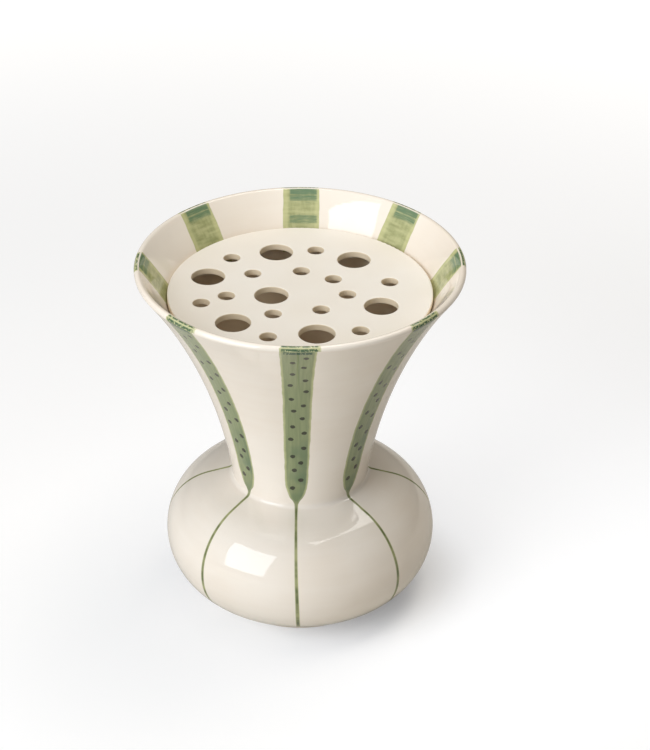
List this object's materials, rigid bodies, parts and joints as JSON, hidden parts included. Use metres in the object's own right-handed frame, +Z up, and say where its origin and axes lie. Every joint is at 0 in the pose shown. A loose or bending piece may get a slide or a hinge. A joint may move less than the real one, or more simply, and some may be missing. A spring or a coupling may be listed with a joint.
{
  "type": "vase with flower frog insert",
  "caption": "Flared ceramic vase on a squat bulb, with a loose pierced flower frog disc resting inside its mouth to hold stems upright.",
  "frame": {"origin": "on the vase's axis, in the plane its foot stands on", "axes": "+Z up along the vase's axis; -Y is the front, the side a viewer looks from"},
  "size_m": [0.165, 0.165, 0.194],
  "materials": {
    "vase_glaze": "gloss cream glaze with green leaf-shaped stripes",
    "frog_glaze": "semi-matt cream glaze"
  },
  "bodies": {
    "vase": {"vase_body": "vase_glaze"},
    "frog": {"flower_frog": "frog_glaze"}
  },
  "joints": [
    {"name": "frog_lift", "type": "slide", "parent": "vase", "child": "frog", "axis": [0, 0, 1], "range_m": [0, 0.08]}
  ]
}
